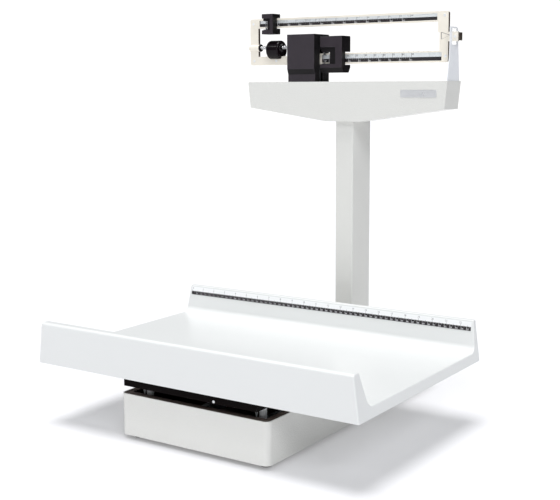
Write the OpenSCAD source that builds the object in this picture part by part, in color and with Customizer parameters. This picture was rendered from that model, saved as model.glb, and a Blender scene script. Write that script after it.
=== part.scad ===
// Mechanical beam scale with a shallow tray: lever base, column, beam head and two sliding poises.
// Millimetres, +Z up. +X runs along the beam to its tip, and -Y is the side a user stands on.
// The origin is the middle of the footprint, on the surface that the feet rest on.

/* [Tray] */
// Length of the tray along its lower edge
tray_len = 604; // [590:1:620]
// Lower edge of the tray above the floor
tray_low = 105; // [104:0.5:106]
// Top of the tray's two walls above the floor
tray_top = 173; // [165:0.5:180]
// Wall thickness of the moulding
tray_t = 2.5; // [2:0.1:2.8]
// How far each end leans in from its lower edge to its top
tray_end_draft = 9; // [4:0.5:12]

/* [Base] */
// Half width of the base
base_hw = 141; // [138:0.5:146]
// Front face of the base
base_front = -250.5; // [-252:0.5:-249]
// Back face of the base
base_back = 270; // [270:1:276]
// Top of the base above the floor
base_top = 74.5; // [73:0.5:76]

/* [Column] */
// Width of the column
col_w = 36; // [34:1:38]
// Depth of the column
col_d = 65; // [62:1:66]
// Sheet thickness of the column
col_t = 1.8; // [1.5:0.1:2.5]

/* [Head] */
// Top of the head above the floor
head_top = 558.6; // [556:0.2:560]
// Half width of the head at its top
head_hw = 204.6; // [203:0.2:206]
// Sheet thickness of the head
head_t = 1.5; // [1.2:0.1:2]

/* [Beam] */
// Thickness of the beam casting
beam_t = 6; // [5:0.5:6]
// Left end of the beam
beam_left = -215; // [-216:0.5:-214]
// Right end of the beam, without its tongue
beam_right = 194; // [193:0.5:195]

/* [Poises] */
// Distance between two notches of the lower bar
notch_pitch = 9.25; // [9:0.05:9.5]
// Number of notch spaces that the large poise travels over
notch_steps = 18; // [16:1:19]

/* [Hidden] */
$fn = 64;

gap = 0.04;              // play between a knife edge and its seat
tray_front = -270;
tray_back = 130.8;
tray_mid = (tray_front + tray_back) / 2;
bed_z = 121.5;           // floor of the tray
beam_y = 220;            // middle plane of the beam, the rod and the nose
beam_face = beam_y - beam_t / 2;
col_y0 = 202.5;
col_y1 = col_y0 + col_d;
head_y0 = 193.8;
head_y1 = 248.3;
head_side_z = 511;
head_low = 488;
pivot_z = 615;           // knife edges of the beam
fulcrum_x = -76;
load_x = -104;
screw_z = 622.2;
transfer_z = 534;
transfer_x = 104;
lever_z = 52;            // knife edges of the base levers
nose_z = 30;
main_fulcrum_y = -238;
load_y = -216;
rear_load_y = 2 * tray_mid - load_y;
rear_fulcrum_y = 2 * tray_mid - main_fulcrum_y;
post_x = 109;
arm_x = 60;

// ---------- helpers ----------
// Block between two values on each axis
module slab(x, y, z) {
    translate([x[0], y[0], z[0]]) cube([x[1] - x[0], y[1] - y[0], z[1] - z[0]]);
}
// Cylinders along each axis, from a to b
module rod_x(a, b, y, z, d) { translate([a, y, z]) rotate([0, 90, 0]) cylinder(h = b - a, d = d); }
module rod_y(x, a, b, z, d) { translate([x, a, z]) rotate([-90, 0, 0]) cylinder(h = b - a, d = d); }
module rod_z(x, y, a, b, d) { translate([x, y, a]) cylinder(h = b - a, d = d); }
// Flat rectangle with round corners
module round_rect(x, y, r) {
    translate([x[0] + r, y[0]]) square([x[1] - x[0] - 2 * r, y[1] - y[0]]);
    translate([x[0], y[0] + r]) square([x[1] - x[0], y[1] - y[0] - 2 * r]);
    for (px = [x[0] + r, x[1] - r], py = [y[0] + r, y[1] - r]) translate([px, py]) circle(r = r);
}
// Plate in the XZ plane, from y[0] to y[1]
module plate_xz(y) {
    translate([0, y[1], 0]) rotate([90, 0, 0]) linear_extrude(y[1] - y[0]) children();
}
// Solid with a YZ outline, from x[0] to x[1]
module plate_yz(x) {
    translate([x[0], 0, 0]) rotate([90, 0, 90]) linear_extrude(x[1] - x[0]) children();
}
// Section of a knife edge, with its edge at the origin and its body above
knife_hw = 3;
knife_h = 9;
module knife_section(up) {
    s = up ? -1 : 1;
    polygon([[0, 0], [knife_hw, s * 5.2], [knife_hw, s * knife_h],
        [-knife_hw, s * knife_h], [-knife_hw, s * 5.2]]);
}
module knife_along_x(x, y, z, up) { translate([0, y, z]) plate_yz(x) knife_section(up); }
module knife_along_y(x, y, z, up) { translate([x, 0, z]) plate_xz(y) knife_section(up); }
// V-shaped seat for a knife edge: the notch opens upward from its deepest line
module vee(up) {
    s = up ? 1 : -1;
    polygon([[0, -s * gap], [14, s * (8.08 - gap)], [-14, s * (8.08 - gap)]]);
}
// Round wire from point a to point b
module wire(a, b, d) {
    v = b - a;
    translate(a) rotate([0, acos(v[2] / norm(v)), atan2(v[1], v[0])]) cylinder(h = norm(v), d = d);
}
// Round-headed screw along Z, its head above z
module pan_screw(x, y, z, d, l) {
    translate([x, y, z - l]) cylinder(h = l, d = d);
    translate([x, y, z]) intersection() {
        cylinder(h = d * 0.6, d = d * 1.9);
        translate([0, 0, d * 0.6 - d * 1.5]) sphere(r = d * 1.5);
    }
}
function arc(cx, cy, r, a0, a1, n) = [for (i = [0:n]) let (a = a0 + (a1 - a0) * i / n)
    [cx + r * cos(a), cy + r * sin(a)]];

// ---------- base ----------
shell_t = 2;
well_hw = 128;           // opening in the top of the base
well_front = -236;
well_back = 101;
shell_r = 10;            // radius of the base's upright corners
foot_h = 8;              // height of the rubber feet, and underside of the chassis
shell_z = 7.5;           // lower edge of the shell
foot_x = 122;
foot_ys = [-228, 246];
flange_screw_x = 27;
flange_screw_ys = [195, 262];

module base_outline(inset) {
    round_rect([-base_hw + inset, base_hw - inset], [base_front + inset, base_back - inset],
        shell_r - inset);
}
// Front part of the base outline, which lies under the tray
module front_outline(inset) intersection() {
    base_outline(inset);
    translate([-base_hw, base_front]) square([2 * base_hw, well_back - base_front]);
}
module base_shell() color("whitesmoke") difference() {
    translate([0, 0, shell_z]) linear_extrude(base_top - shell_z) base_outline(0);
    translate([0, 0, shell_z - 1]) linear_extrude(base_top - shell_z + 1 - shell_t) base_outline(shell_t);
    translate([0, 0, base_top - shell_t - 1]) linear_extrude(shell_t + 2) front_outline(shell_t);
    slab([-col_w / 2, col_w / 2], [col_y0, col_y1], [base_top - shell_t - 1, base_top + 1]);
    for (s = [-1, 1], y = flange_screw_ys)
        rod_z(s * flange_screw_x, y, base_top - shell_t - 1, base_top + 1, 5);
}
module base_chassis() color("dimgray") difference() {
    union() {
        difference() {
            translate([0, 0, foot_h]) linear_extrude(base_top - shell_t - foot_h) base_outline(shell_t);
            translate([0, 0, 10]) linear_extrude(base_top - shell_t - 12) base_outline(shell_t + 2);
            slab([-130, 130], [120, 250], [base_top - shell_t - 3, base_top]);
        }
        translate([0, 0, base_top - shell_t - 2]) linear_extrude(shell_t + 2) front_outline(shell_t);
    }
    slab([-well_hw, well_hw], [well_front, well_back + 2], [20, base_top + 1]);
    slab([-col_w / 2, col_w / 2], [col_y0, col_y1], [10, base_top]);
    for (s = [-1, 1], y = foot_ys) rod_z(s * foot_x, y, 7, 11, 5);
    for (s = [-1, 1], y = flange_screw_ys) rod_z(s * flange_screw_x, y, 60, base_top, 5);
}
module rubber_feet() color("black") for (s = [-1, 1], y = foot_ys) difference() {
    rod_z(s * foot_x, y, 0, foot_h, 18);
    rod_z(s * foot_x, y, -1, 3, 10);
    rod_z(s * foot_x, y, 2, 9, 5);
}
module foot_screws() color("silver") for (s = [-1, 1], y = foot_ys) {
    rod_z(s * foot_x, y, 1, 3, 9);
    rod_z(s * foot_x, y, 3, 14, 4.9);
    rod_z(s * foot_x, y, 10, 13.5, 8.4);
}

// Stands under the four fulcrum knives of the base levers
stand_x = [104, 120];
stand_hd = 5.5;          // half depth of a stand
stand_top = 46;
module fulcrum_stand(y) {
    slab(stand_x, [y - stand_hd, y + stand_hd], [10, stand_top]);
    slab([stand_x[0] - 10, stand_x[1] + 8], [y - stand_hd, y + stand_hd], [10, 14]);
}
module fulcrum_stands() color("slategray") for (s = [0, 1], y = [main_fulcrum_y, rear_fulcrum_y])
    mirror([s, 0, 0]) fulcrum_stand(y);
module fulcrum_bearings() color("silver") for (s = [0, 1], y = [main_fulcrum_y, rear_fulcrum_y])
    mirror([s, 0, 0]) difference() {
        slab(stand_x, [y - stand_hd, y + stand_hd], [stand_top, lever_z + 3]);
        translate([0, y, lever_z]) plate_yz([stand_x[0] - 1, stand_x[1] + 1]) vee(true);
    }

// ---------- column ----------
flange_top = base_top + 4;
module column_flange() color("whitesmoke") difference() {
    translate([0, 0, base_top]) linear_extrude(4) round_rect([-36, 36], [187, 269], 4);
    slab([-col_w / 2, col_w / 2], [col_y0, col_y1], [base_top - 1, flange_top + 1]);
    for (s = [-1, 1], y = flange_screw_ys) rod_z(s * flange_screw_x, y, base_top - 1, flange_top + 1, 5);
}
module column_screws() color("silver") for (s = [-1, 1], y = flange_screw_ys)
    pan_screw(s * flange_screw_x, y, flange_top, 4.9, 16);
shelf_z = 506;
module column_tube() color("lightsteelblue") difference() {
    translate([0, 0, 10]) linear_extrude(shelf_z - 10)
        round_rect([-col_w / 2, col_w / 2], [col_y0, col_y1], 2);
    slab([-col_w / 2 + col_t, col_w / 2 - col_t], [col_y0 + col_t, col_y1 - col_t], [9, shelf_z + 1]);
    slab([-14, 14], [col_y0 - 1, col_y0 + 3], [16, 62]);
}

// ---------- head ----------
shelf_t = 3;
module head_shelf() color("slategray") difference() {
    slab([-130, 130], [206, 236], [shelf_z, shelf_z + shelf_t]);
    slab([-12, 12], [209, 231], [shelf_z - 1, shelf_z + shelf_t + 1]);
}
// Front outline of the head, drawn in by i
head_draft = 4.8;        // how far each end of the head leans in at its foot
head_foot_hw = 35;       // half width of the head's lowest edge
module head_outline(i) polygon([
    [-head_hw + i, head_top - i], [-head_hw + head_draft + i, head_side_z + i],
    [-head_foot_hw, head_low + i], [head_foot_hw, head_low + i],
    [head_hw - head_draft - i, head_side_z + i], [head_hw - i, head_top - i]]);
head_screw_x = 190;
head_screw_zs = [head_side_z + 10, head_top - 10];
module guard_slot() slab([201.3, 202.95], [196.8, 245.2], [head_top - 4, head_top + 2]);
module head_shell() color("white") difference() {
    plate_xz([head_y0, head_y1 - head_t]) head_outline(0);
    plate_xz([head_y0 + head_t, head_y1]) head_outline(head_t);
    slab([-col_w / 2 - gap, col_w / 2 + gap], [col_y0 - gap, head_y1], [head_low - 1, head_low + 4]);
    slab([-113, -66], [204, 236], [head_top - 4, head_top + 1]);
    guard_slot();
}
module head_back_cover() color("white") difference() {
    plate_xz([head_y1 - head_t, head_y1]) head_outline(0);
    slab([-col_w / 2 - gap, col_w / 2 + gap], [head_y1 - 5, head_y1 + 1], [head_low - 1, shelf_z + shelf_t]);
    for (s = [-1, 1], z = head_screw_zs) rod_y(s * head_screw_x, head_y1 - 5, head_y1 + 1, z, 3.4);
}
module head_screws() color("silver") for (s = [-1, 1], z = head_screw_zs) {
    rod_y(s * head_screw_x, head_y1 - 8, head_y1, z, 3.3);
    rod_y(s * head_screw_x, head_y1, head_y1 + 1.8, z, 6.5);
}
guard_x = [201.4, 202.9];
guard_top = 649;
guard_screw_x = 190;
guard_screw_ys = [208, 234];
module tip_guard() color("white") difference() {
    union() {
        plate_yz(guard_x) {
            polygon(concat([[197, head_top - 3], [197, head_top], [205, 598], [206, 623], [206, guard_top]],
                arc(230, guard_top - 8, 8, 90, 0, 6),
                [[238, 623], [241, 598], [245, head_top], [245, head_top - 3]]));
        }
        slab([182, guard_x[1]], [199, 243], [head_top - head_t - 1.5, head_top - head_t]);
    }
    plate_yz([guard_x[0] - 1, guard_x[1] + 1]) round_rect([213.5, 232.5], [619.2, 646.2], 1);
    for (y = guard_screw_ys) rod_z(guard_screw_x, y, head_top - 5, head_top, 3.4);
}
module guard_screws() color("silver") for (y = guard_screw_ys) {
    rod_z(guard_screw_x, y, head_top - 8, head_top - head_t, 3.3);
    rod_z(guard_screw_x, y, head_top - 8, head_top - head_t - 1.5, 6);
}
module name_plate() color("gainsboro") plate_xz([head_y0 - 0.6, head_y0])
    round_rect([117, 185], [531, 544], 1.5);

// Stand for the beam's fulcrum, inside the cover
cheek_x = [fulcrum_x - 8, fulcrum_x + 8];
cheek_ys = [[206, 210], [230, 234]];   // the two cheeks of each stand, in front of and behind the beam
cheek_top = 607;
stand_foot = [shelf_z + shelf_t, shelf_z + shelf_t + 4];
module beam_stand() color("slategray") {
    for (y = cheek_ys) slab(cheek_x, y, [stand_foot[0], cheek_top]);
    slab([cheek_x[0] - 4, cheek_x[1] + 4], [206, 234], stand_foot);
}
module beam_bearings() color("silver") for (y = cheek_ys) difference() {
    slab(cheek_x, y, [cheek_top, pivot_z + 4]);
    translate([fulcrum_x, 0, pivot_z]) plate_xz([y[0] - 1, y[1] + 1]) vee(true);
}
module transfer_stand() color("slategray") {
    for (y = cheek_ys) slab([transfer_x - 8, transfer_x + 8], y, [stand_foot[0], transfer_z - 6]);
    slab([transfer_x - 12, transfer_x + 12], [206, 234], stand_foot);
}
module transfer_bearings() color("silver") for (y = cheek_ys) difference() {
    slab([transfer_x - 8, transfer_x + 8], y, [transfer_z - 6, transfer_z + 4]);
    translate([transfer_x, 0, transfer_z]) plate_xz([y[0] - 1, y[1] + 1]) vee(true);
}
cover_x = [-117.2, -59];
cover_y = [194.5, 246.5];
cover_top = 644;
cover_t = 2.5;
cover_screw_xs = [-108, -71];
cover_screw_z = 600;
cover_step = 3.5;        // how far the foot of the cover is set back
cover_bend = [572, 581.6];
module cover_outline(i) polygon([[cover_y[0] + i, cover_bend[1]], [cover_y[0] + i, cover_top - i],
    [cover_y[1] - i, cover_top - i], [cover_y[1] - i, head_top - (i > 0 ? 1 : 0)],
    [cover_y[0] + cover_step + i, head_top - (i > 0 ? 1 : 0)],
    [cover_y[0] + cover_step + i, cover_bend[0]]]);
module fulcrum_cover() color([0.22, 0.2, 0.22]) difference() {
    plate_yz(cover_x) cover_outline(0);
    plate_yz([cover_x[0] + cover_t, cover_x[1] - cover_t]) cover_outline(cover_t);
    slab([cover_x[0] - 1, cover_x[0] + 4], [214, 226], [head_top - 1, 630]);
    slab([cover_x[1] - 4, cover_x[1] + 1], [214, 226], [head_top - 1, 616]);
    for (x = cover_screw_xs) rod_y(x, cover_y[1] - 5, cover_y[1] + 1, cover_screw_z, 3.4);
}
module cover_screws() color("silver") for (x = cover_screw_xs) {
    rod_y(x, cover_y[1] - 4, cover_y[1], cover_screw_z, 3.3);
    rod_y(x, cover_y[1], cover_y[1] + 1.6, cover_screw_z, 6.5);
}

// ---------- beam ----------
beam_z = [590, 675.5];
upper_z = [658, 675.5];   // upper bar
lower_z = [590, 609.5];   // notched part of the lower bar
plain_top = 606;          // top of the lower bar left of the fulcrum
window_x = [-196.5, 174.5];
upper_strip = [-193.5, 173, 660.8, 672];
lower_strip = [-56, 182, 593, 607];
strip_deep = 3;
strip_t = 1;
tongue_z = [624.7, 640.7];
large_zero = -31;         // middle of the large poise at its zero mark
key_x = large_zero + 12;  // notch key of the large poise at its zero mark
rivet_at = [[-207.5, 666.5], [-206, 598], [-156, 597.8], [187, 668.5], [189.5, 600.5]];
tip_rivet = [206, 632.7];
notch_deep = 1.6;
module notch(x) polygon([[x, lower_z[1] - notch_deep], [x + 1.7, lower_z[1] + 1], [x - 1.7, lower_z[1] + 1]]);
module beam_outline() difference() {
    round_rect([beam_left, beam_right], beam_z, 4);
    translate([window_x[0], lower_z[1]]) square([window_x[1] - window_x[0], upper_z[0] - lower_z[1]]);
    translate([window_x[0], plain_top]) square([100, 10]);
    translate([window_x[1] - 1, lower_z[1]]) square([4.2, 31]);
    for (i = [0:notch_steps + 1]) notch(key_x + i * notch_pitch);
}
module beam_frame() color("antiquewhite") difference() {
    union() {
        plate_xz([beam_face, beam_face + beam_t]) beam_outline();
        slab([-113, -64], [beam_face, beam_face + beam_t], [600, 632]);
        slab([beam_right - 1, 212], [beam_face, beam_face + 3], tongue_z);
        rod_x(beam_left - 1, -194.5, beam_y, screw_z, 13.5);
        rod_x(-113, -101, beam_y, screw_z, 12);
    }
    for (s = [upper_strip, lower_strip])
        slab([s[0], s[1]], [beam_face - 1, beam_face + strip_deep], [s[2], s[3]]);
    rod_x(beam_left - 2, -190, beam_y, screw_z, 6.1);
    rod_x(-114, -103, beam_y, screw_z, 6.1);
    fulcrum_pivot();
    load_pivot();
    for (p = rivet_at) rod_y(p[0], beam_face - 1, beam_face + beam_t + 1, p[1], 3);
    rod_y(tip_rivet[0], beam_face - 1, beam_face + beam_t + 1, tip_rivet[1], 3);
}
module scale_strip(s)
    slab([s[0], s[1]], [beam_face + strip_deep - strip_t, beam_face + strip_deep], [s[2], s[3]]);
module upper_scale_strip() color("lightgray") scale_strip(upper_strip);
module lower_scale_strip() color("lightgray") scale_strip(lower_strip);
module rivet(x, z, back) {
    rod_y(x, beam_face, back, z, 3);
    rod_y(x, beam_face - 0.6, beam_face, z, 5);
    rod_y(x, back, back + 0.6, z, 5);
}
module beam_rivets() color("ivory") {
    for (p = rivet_at) rivet(p[0], p[1], beam_face + beam_t);
    rivet(tip_rivet[0], tip_rivet[1], beam_face + 4.5);
}
module fulcrum_pivot() color("silver")
    knife_along_y(fulcrum_x, [206.3, 233.7], pivot_z, false);
module load_pivot() color("silver")
    knife_along_y(load_x, [206.3, 233.7], pivot_z, true);
module tip_tab() color("rosybrown") difference() {
    union() {
        slab([197, 213.5], [beam_face + 3, beam_face + 4.5], [626, 639.5]);
        slab([212, 213.5], [beam_face, 231], [626, 639.5]);
    }
    rod_y(tip_rivet[0], beam_face + 2, beam_face + 5, tip_rivet[1], 3);
}
module balance_screw() color("silver") difference() {
    rod_x(beam_left - 1, -103.5, beam_y, screw_z, 6);
    slab([beam_left - 2, beam_left + 0.6], [beam_y - 4, beam_y + 4], [screw_z - 0.5, screw_z + 0.5]);
}
module screw_collar() color("black") difference() {
    rod_x(-194.3, -191.9, beam_y, screw_z, 14);
    rod_x(-195, -191, beam_y, screw_z, 6.01);
}
weight_x = [-172, -144];
weight_z = 617.8;
module balance_weight() color("black") difference() {
    translate([weight_x[0], beam_y, weight_z]) rotate([0, 90, 0]) rotate_extrude()
        polygon(concat([[0, 0]], arc(14.3, 3, 3, -90, 0, 5), arc(14.3, 25, 3, 0, 90, 5), [[0, 28]]));
    rod_x(weight_x[0] - 1, weight_x[1] + 1, beam_y, screw_z, 6.1);
    slab([weight_x[0] - 1, weight_x[1] + 1], [beam_face - 0.6, beam_face + beam_t + 0.6],
        [weight_z - 19.8, plain_top + 1.2]);
}

// ---------- poises ----------
small_x = [-178.3, -153.9];
small_y = [201.7, 227.5];
small_z = [646.5, 683.5];
small_slot = [657, 676.4];
small_window = -160.3;    // right edge of the recess around the reading window
small_reading = -168.7;   // right edge of the reading window itself
small_read_z = [655.5, 671];
recess_deep = 5;
module small_poise() color([0.22, 0.2, 0.22]) difference() {
    plate_yz(small_x) round_rect(small_y, small_z, 1.2);
    slab([small_x[0] - 1, small_x[1] + 1], [beam_face - 0.7, small_y[1] + 1], small_slot);
    slab([small_x[0] - 1, small_window], [small_y[0] - 1, small_y[0] + recess_deep], [653.8, 675.3]);
    slab([small_x[0] - 1, small_reading], [small_y[0], beam_face], small_read_z);
    rider_pads();
}
// Index plate across a reading window, with a pointer at its top and one at its foot
module index_plate(x, z, reach, high) plate_xz([beam_face - 3, beam_face - 1.8]) polygon([
    [x, z[0]], [x + 1, z[0]], [x + reach, z[0] + high], [x + 1, z[0] + high],
    [x + 1, z[1] - high], [x + reach, z[1] - high], [x + 1, z[1]], [x, z[1]]]);
module small_poise_index() color("silver") index_plate(small_x[0] + 0.2, small_read_z, 4.5, 4);
module rider_pads() for (x = [small_x[0] + 1.5, small_x[1] - 5.5])
    slab([x, x + 4], [beam_face + 1, beam_face + beam_t - 1], [upper_z[1] + gap, 679]);
module small_poise_rider() color("goldenrod") rider_pads();

large_x = [-51.2, -6.3];
large_y = [203, 234];
large_z = [574.6, 639.6];
large_slot = [588.6, 611.6];
large_chamfer = [6, 9];   // depth and height of the cut along each lower edge
large_window = -19.6;     // right edge of the recess around the reading window
large_reading = -34;      // right edge of the reading window itself
large_read_z = [591, 611.5];
module large_poise() color([0.22, 0.2, 0.22]) difference() {
    plate_yz(large_x) polygon([
        [large_y[0], large_z[0] + large_chamfer[1]], [large_y[0], large_z[1] - 1.5],
        [large_y[0] + 1.5, large_z[1]], [large_y[1] - 1.5, large_z[1]], [large_y[1], large_z[1] - 1.5],
        [large_y[1], large_z[0] + large_chamfer[1]], [large_y[1] - large_chamfer[0], large_z[0]],
        [large_y[0] + large_chamfer[0], large_z[0]]]);
    slab([large_x[0] - 1, large_x[1] + 1], [beam_face - 1, large_y[1] + 1], large_slot);
    slab([large_x[0] - 1, large_window], [large_y[0] - 1, large_y[0] + recess_deep], [590, 620.2]);
    slab([large_x[0] - 1, large_reading], [large_y[0], beam_face - 0.5], large_read_z);
    slab([key_x - 4, key_x + 4], [beam_face, beam_face + beam_t], [large_slot[1] - 1, 624]);
    keeper_pin();
}
module large_poise_index() color("silver") index_plate(large_x[0] + 0.2, large_read_z, 7, 6);
key_tip = lower_z[1] - notch_deep + 0.15;   // lowest edge of the key, just clear of the notch's root
module key_relief(s) polygon([[key_x + s * 0.05, key_tip], [key_x + s * 1.65, lower_z[1] + 1],
    [key_x + s * 5, lower_z[1] + 1], [key_x + s * 5, key_tip - 2], [key_x + s * 0.05, key_tip - 2]]);
module large_poise_pawl() color("silver") difference() {
    slab([key_x - 4, key_x + 4], [beam_face, beam_face + beam_t], [key_tip, 624]);
    for (s = [-1, 1]) plate_xz([beam_face - 1, beam_face + beam_t + 1]) key_relief(s);
}
// Upright pin behind the bar that keeps the poise from coming off it
module keeper_pin() rod_z(-46, 231, 583, 617, 3);
module large_poise_keeper() color("silver") keeper_pin();

// ---------- linkage ----------
strap_ys = [[211.5, 213.5], [226.5, 228.5]];
module beam_link() color("silver") difference() {
    union() {
        for (y = strap_ys) slab([load_x - 6, load_x + 6], y, [522, 618]);
        slab([load_x - 6, load_x + 6], [strap_ys[0][0], strap_ys[1][1]], [520, 522]);
    }
    rod_y(load_x, 205, 235, pivot_z - 5.5 + gap, 11);
    rod_y(load_x, 205, 235, transfer_z + 5.5 - gap, 11);
}
module transfer_lever() color("slategray") difference() {
    slab([-112, 112], [beam_y - 4, beam_y + 4], [transfer_z - 10, transfer_z + 10]);
    for (s = [-1, 1])
        slab([s * 52 - 30, s * 52 + 30], [beam_y - 5, beam_y + 5], [transfer_z - 4, transfer_z + 4]);
    transfer_pivots();
}
module transfer_pivots() color("silver") {
    knife_along_y(transfer_x, [206.3, 233.7], transfer_z, false);
    knife_along_y(-transfer_x, [209.5, 230.5], transfer_z, false);
    knife_along_y(0, [210.2, 229.8], transfer_z, true);
}
rod_low = 60;
module pull_rod() color("silver") rod_z(0, beam_y, rod_low - 8, transfer_z - 14, 4);
module rod_stirrups() color("silver") {
    difference() {
        union() {
            for (y = [[211.2, 213.2], [226.8, 228.8]]) slab([-7, 7], y, [transfer_z - 22, transfer_z + 4]);
            slab([-7, 7], [211.2, 228.8], [transfer_z - 22, transfer_z - 19]);
        }
        rod_y(0, 205, 235, transfer_z - 5.5 + gap, 11);
        rod_z(0, beam_y, transfer_z - 25, transfer_z - 10, 4);
    }
    difference() {
        union() {
            for (x = [[-11, -9], [9, 11]]) slab(x, [beam_y - 7, beam_y + 7], [nose_z - 4, rod_low]);
            slab([-11, 11], [beam_y - 7, beam_y + 7], [rod_low - 3, rod_low]);
        }
        rod_x(-12, 12, beam_y, nose_z + 5.5 - gap, 11);
        rod_z(0, beam_y, rod_low - 5, rod_low + 5, 4);
    }
}
module hex_nut(z0) difference() {
    translate([0, beam_y, z0]) cylinder(h = 3, d = 8, $fn = 6);
    rod_z(0, beam_y, z0 - 1, z0 + 4, 4);
}
module rod_nuts() color("silver") {
    for (z = [rod_low - 6, rod_low, transfer_z - 25, transfer_z - 19]) hex_nut(z);
}
lever_bar = [lever_z - 10, lever_z + 10];
arm_z = [24, 38];
module main_lever() color("slategray") difference() {
    union() {
        slab([-94, 94], [main_fulcrum_y - 8, load_y + 8], lever_bar);
        for (s = [-1, 1]) {
            slab([s * arm_x - 6, s * arm_x + 6], [main_fulcrum_y - 8, 150], arm_z);
            slab([s * arm_x - 6, s * arm_x + 6], [main_fulcrum_y - 8, load_y + 8], [arm_z[0], lever_z]);
        }
        slab([-arm_x - 6, arm_x + 6], [138, 150], arm_z);
        slab([-5, 5], [149, 228], [arm_z[0], arm_z[1] + 4]);
    }
    main_lever_pivots();
}
module main_lever_pivots() color("silver") {
    for (s = [0, 1]) mirror([s, 0, 0]) {
        knife_along_x([88, 121], main_fulcrum_y, lever_z, false);
        knife_along_x([88, post_x + 9], load_y, lever_z, true);
    }
    knife_along_x([-12.5, 12.5], beam_y, nose_z, false);
}
seat_z = 42;
module main_lever_seats() color("silver") for (s = [-1, 1]) difference() {
    slab([s * arm_x - 6, s * arm_x + 6], [tray_mid - 6, tray_mid + 6], [arm_z[1], seat_z + 1.7]);
    translate([0, tray_mid, seat_z]) plate_yz([s * arm_x - 7, s * arm_x + 7]) vee(true);
}
module short_lever() color("slategray") difference() {
    union() {
        slab([-94, 94], [rear_load_y - 8, rear_fulcrum_y + 8], lever_bar);
        for (s = [-1, 1]) slab([s * 84 - 6, s * 84 + 6], [tray_mid - 8, rear_load_y], [44, 58]);
        slab([-90, 90], [tray_mid - 8, tray_mid + 8], [44, 58]);
    }
    short_lever_pivots();
}
module short_lever_pivots() color("silver") {
    for (s = [0, 1]) mirror([s, 0, 0]) {
        knife_along_x([88, 121], rear_fulcrum_y, lever_z, false);
        knife_along_x([88, post_x + 9], rear_load_y, lever_z, true);
        knife_along_x([arm_x - 6, arm_x + 6], tray_mid, seat_z, false);
    }
}

// ---------- platform and tray ----------
deck_hw = 127;
deck_y = [-257.5, 2 * tray_mid + 257.5];
deck_z = [89.8, 112.5];
deck_t = 2.5;
deck_lip = 12;            // width of the flange under the platform's skirt
screw_at = [for (s = [-1, 1], y = [-200, 2 * tray_mid + 200]) [s * 85, y]];
module platform_frame() color([0.12, 0.1, 0.1]) difference() {
    slab([-deck_hw, deck_hw], deck_y, deck_z);
    slab([-deck_hw + deck_t, deck_hw - deck_t], [deck_y[0] + deck_t, deck_y[1] - deck_t],
        [deck_z[0] + deck_t, deck_z[1] - deck_t]);
    slab([-deck_hw + deck_lip, deck_hw - deck_lip], [deck_y[0] + deck_lip, deck_y[1] - deck_lip],
        [deck_z[0] - 1, deck_z[0] + 5]);
    for (p = screw_at) rod_z(p[0], p[1], deck_z[1] - 4, deck_z[1] + 1, 5.4);
    deck_screw_shank();
}
module platform_posts() color("silver") for (s = [-1, 1], y = [load_y, rear_load_y]) {
    rod_z(s * post_x, y, lever_z + 8, deck_z[1] - 2.5, 11.5);
    rod_z(s * post_x, y, deck_z[1] - 8, deck_z[1] - 2.5, 16);
}
module post_bearings() color("silver") for (s = [-1, 1], y = [load_y, rear_load_y]) difference() {
    slab([s * post_x - 8, s * post_x + 8], [y - 8, y + 8], [lever_z - 3, lever_z + 8]);
    translate([0, y, lever_z]) plate_yz([s * post_x - 9, s * post_x + 9]) vee(false);
}

// Clip on each post: a collar, an arm towards -X and a narrow V of wire that reaches into the base
clip_z = [85, 87.5];
clip_low = 66;
clip_arm = 12;           // from the post's axis to the middle of the V
clip_wire = 1.6;
module hold_down_clips() color("silver") for (s = [-1, 1], y = [load_y, rear_load_y])
    translate([s * post_x, y, 0]) {
        difference() {
            union() {
                rod_z(0, 0, clip_z[0], clip_z[1], 15);
                slab([-clip_arm - 5, -6], [-1.5, 1.5], clip_z);
            }
            rod_z(0, 0, clip_z[0] - 1, clip_z[1] + 1, 11.5);
        }
        for (t = [-1, 1])
            wire([-clip_arm + t * 4, 0, clip_z[0] + 1], [-clip_arm, 0, clip_low], clip_wire);
        translate([-clip_arm, 0, clip_low]) sphere(d = clip_wire);
    }
// Screw in the front lip of the platform
deck_screw_at = [49.3, 92.6];
module deck_screw_shank() rod_y(deck_screw_at[0], deck_y[0], deck_y[0] + 4, deck_screw_at[1], 3);
module deck_screw() color("silver") {
    deck_screw_shank();
    rod_y(deck_screw_at[0], deck_y[0] - 1, deck_y[0], deck_screw_at[1], 4.5);
}

// Points of one side of the tray's section, from the bed over the wall to its outer foot.
// s is +1 for the back wall and -1 for the front; drawn in by i for the hollow side.
wall_crest = [121.5, -254.5];      // inner edge of each wall's top
wall_foot = [114, -237.5];         // where each inner face would meet the bed
wall_outer = [tray_back, tray_front];
bed_fillet = 14;
module tray_section(i) polygon(concat(tray_side(1, i), [for (k = [12:-1:0]) tray_side(-1, i)[k]]));
function tray_side(s, i) = let (
        w = s > 0 ? 0 : 1,
        lean = atan(abs(wall_crest[w] - wall_foot[w]) / (tray_top - bed_z)),
        r = bed_fillet - i,
        crest_y = wall_crest[w] + s * i / cos(lean),
        foot_y = crest_y - s * (tray_top - i - bed_z + i) * tan(lean),
        cy = foot_y - s * (r * (1 / cos(lean)) - r * tan(lean)),
        outer = wall_outer[w] - s * i,
        c = i > 0 ? 0.6 : 2.4)
    concat(
        [for (k = [0:5]) let (a = -90 + (90 - lean) * k / 5)
            [cy + s * r * cos(a), bed_z - i + r + r * sin(a)]],
        [for (k = [0:2]) let (a = 180 - 45 * k)
            [crest_y + s * (c + c * cos(a)), tray_top - i - c + c * sin(a)]],
        [for (k = [0:2]) let (a = 90 - 45 * k)
            [outer - s * (c + 1 - c * cos(a)), tray_top - i - c + c * sin(a)]],
        [[outer, tray_low - (i > 0 ? 1 : 0)]]);
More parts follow.
